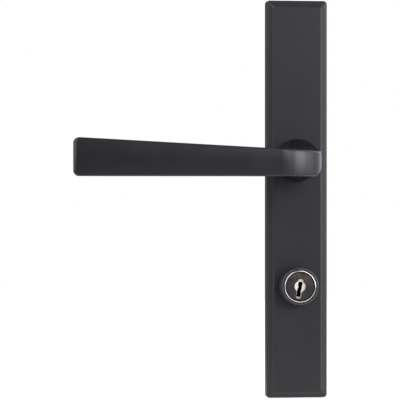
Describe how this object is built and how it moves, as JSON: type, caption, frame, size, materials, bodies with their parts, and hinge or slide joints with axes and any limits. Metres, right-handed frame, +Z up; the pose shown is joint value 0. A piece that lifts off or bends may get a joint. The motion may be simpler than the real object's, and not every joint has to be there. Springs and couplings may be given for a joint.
{
  "type": "storm door lever handle",
  "caption": "Storm door lever handle: a long bevelled plate with a sprung flat lever on a round neck, a key cylinder below it, and the spindle, posts and lock parts behind the plate.",
  "frame": {"origin": "where the axis of the lever's spindle meets the face of the door", "axes": "+Z up along the plate, +Y out of the plate's back into the door, the lever reaches along -X and the front faces -Y"},
  "size_m": [0.1612, 0.1067, 0.246],
  "materials": {
    "plate_coat": "matte black powder coat on die-cast zinc",
    "lever_coat": "satin black powder coat on die-cast zinc",
    "zinc_plated_steel": "zinc plated",
    "pressed_steel": "zinc plated sheet",
    "spring_steel": "oiled spring steel",
    "nylon": "natural nylon",
    "nickel_plated_brass": "satin nickel plate on brass",
    "bare_brass": "turned brass",
    "dark_cap": "dark oxide on pressed brass"
  },
  "bodies": {
    "plate": {"escutcheon_plate": "plate_coat", "upper_mounting_post": "zinc_plated_steel", "lower_mounting_post": "zinc_plated_steel", "lever_bushing": "nylon", "spring_housing": "pressed_steel", "housing_screw_upper": "zinc_plated_steel", "housing_screw_lower": "zinc_plated_steel", "cylinder_collar": "plate_coat", "cylinder_housing": "nickel_plated_brass", "cylinder_clip": "spring_steel", "pin_chamber_cover": "bare_brass", "driver_pin_1": "bare_brass", "driver_pin_2": "bare_brass", "driver_pin_3": "bare_brass", "driver_pin_4": "bare_brass", "driver_pin_5": "bare_brass", "pin_spring_1": "spring_steel", "pin_spring_2": "spring_steel", "pin_spring_3": "spring_steel", "pin_spring_4": "spring_steel", "pin_spring_5": "spring_steel"},
    "lever": {"lever_handle": "lever_coat", "return_cam": "pressed_steel", "return_spring": "spring_steel", "curved_washer": "spring_steel", "retaining_ring": "spring_steel", "spindle": "zinc_plated_steel", "spindle_pin": "zinc_plated_steel"},
    "plug": {"cylinder_plug": "nickel_plated_brass", "cylinder_face_cap": "dark_cap", "plug_clip": "spring_steel", "tailpiece": "zinc_plated_steel", "tailpiece_pin": "zinc_plated_steel", "key_pin_1": "bare_brass", "key_pin_2": "bare_brass", "key_pin_3": "bare_brass", "key_pin_4": "bare_brass", "key_pin_5": "bare_brass"}
  },
  "joints": [
    {"name": "lever_turn", "type": "hinge", "parent": "plate", "child": "lever", "pos_m": [0, 0, 0], "axis": [0, -1, 0], "range_deg": [0, 38], "stiffness_Nm_per_rad": 0.9, "springref_deg": -34.38, "deforming": ["return_spring"]},
    {"name": "plug_turn", "type": "hinge", "parent": "plate", "child": "plug", "pos_m": [0, 0, -0.0777], "axis": [0, -1, 0], "range_deg": [-90, 90]}
  ]
}
